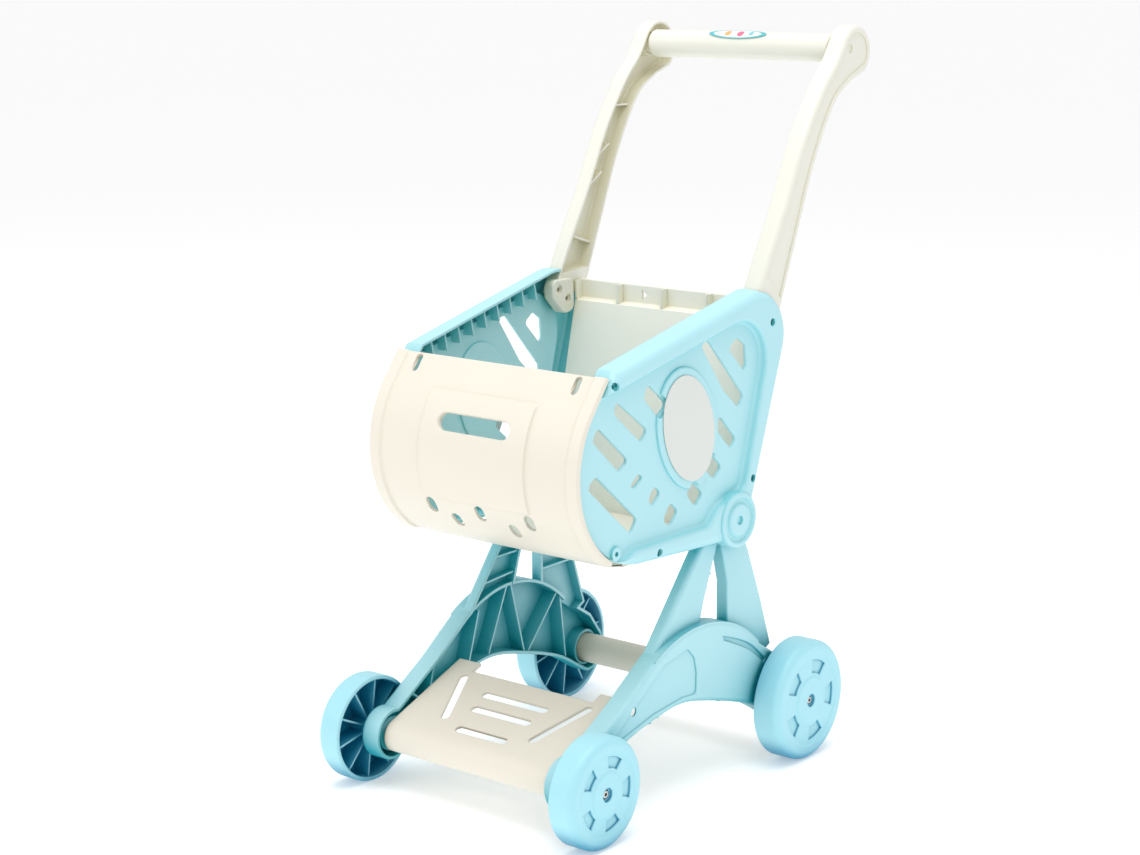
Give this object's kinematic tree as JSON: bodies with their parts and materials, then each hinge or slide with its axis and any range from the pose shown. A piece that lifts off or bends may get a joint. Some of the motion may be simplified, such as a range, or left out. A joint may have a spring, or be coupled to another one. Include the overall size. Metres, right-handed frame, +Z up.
{
  "type": "toy shopping trolley",
  "caption": "Child's push-along toy shopping trolley in moulded plastic, with a curved open basket, a sloping lower tray, an arched leg frame, a hooped handle and free-turning wheels.",
  "frame": {"origin": "on the floor, under the middle of the trolley's length and width", "axes": "+Z up; +X across the trolley to its own left as it faces -Y, which is the viewer's right from the front; +Y back, towards the handle"},
  "size_m": [0.2612, 0.3961, 0.5576],
  "materials": {
    "panel_blue": "satin pale blue moulded plastic",
    "frame_blue": "satin pale blue moulded plastic",
    "wheel_blue": "satin sky blue moulded plastic",
    "ivory_plastic": "satin cream moulded plastic",
    "handle_ivory": "satin off-white moulded plastic",
    "tube_ivory": "satin greyish ivory plastic tube",
    "steel": "zinc plated steel",
    "label_grey": "plain printed film label",
    "label_teal": "plain printed film label"
  },
  "bodies": {
    "trolley": {"back_panel": "ivory_plastic", "foot_screw_left_1": "steel", "foot_screw_left_2": "steel", "foot_screw_right_1": "steel", "foot_screw_right_2": "steel", "front_axle": "steel", "front_panel": "ivory_plastic", "front_wheel_screw_left": "steel", "front_wheel_screw_right": "steel", "handle_arm_left": "handle_ivory", "handle_arm_right": "handle_ivory", "handle_crossbar": "handle_ivory", "handle_label": "label_teal", "handle_screw_left": "steel", "handle_screw_right": "steel", "hub_screw_left": "steel", "hub_screw_right": "steel", "leg_frame_left": "frame_blue", "leg_frame_right": "frame_blue", "lower_tray": "ivory_plastic", "panel_screw_left_1": "steel", "panel_screw_left_2": "steel", "panel_screw_left_3": "steel", "panel_screw_left_4": "steel", "panel_screw_left_5": "steel", "panel_screw_right_1": "steel", "panel_screw_right_2": "steel", "panel_screw_right_3": "steel", "panel_screw_right_4": "steel", "panel_screw_right_5": "steel", "rear_axle": "steel", "rear_tube": "tube_ivory", "rear_wheel_screw_left": "steel", "rear_wheel_screw_right": "steel", "side_label_left": "label_grey", "side_label_right": "label_grey", "side_panel_left": "panel_blue", "side_panel_right": "panel_blue", "tray_screw_left": "steel", "tray_screw_right": "steel"},
    "front_wheel_left": {"front_wheel_left": "wheel_blue"},
    "front_wheel_right": {"front_wheel_right": "wheel_blue"},
    "rear_wheel_left": {"rear_wheel_left": "wheel_blue"},
    "rear_wheel_right": {"rear_wheel_right": "wheel_blue"}
  },
  "joints": [
    {"name": "front_wheel_left_spin", "type": "hinge", "parent": "trolley", "child": "front_wheel_left", "pos_m": [-0.111, -0.1575, 0.0406], "axis": [1, 0, 0], "continuous": true},
    {"name": "front_wheel_right_spin", "type": "hinge", "parent": "trolley", "child": "front_wheel_right", "pos_m": [0.111, -0.1575, 0.0406], "axis": [1, 0, 0], "continuous": true},
    {"name": "rear_wheel_left_spin", "type": "hinge", "parent": "trolley", "child": "rear_wheel_left", "pos_m": [-0.1193, 0.0865, 0.0469], "axis": [1, 0, 0], "continuous": true},
    {"name": "rear_wheel_right_spin", "type": "hinge", "parent": "trolley", "child": "rear_wheel_right", "pos_m": [0.1193, 0.0865, 0.0469], "axis": [1, 0, 0], "continuous": true}
  ]
}
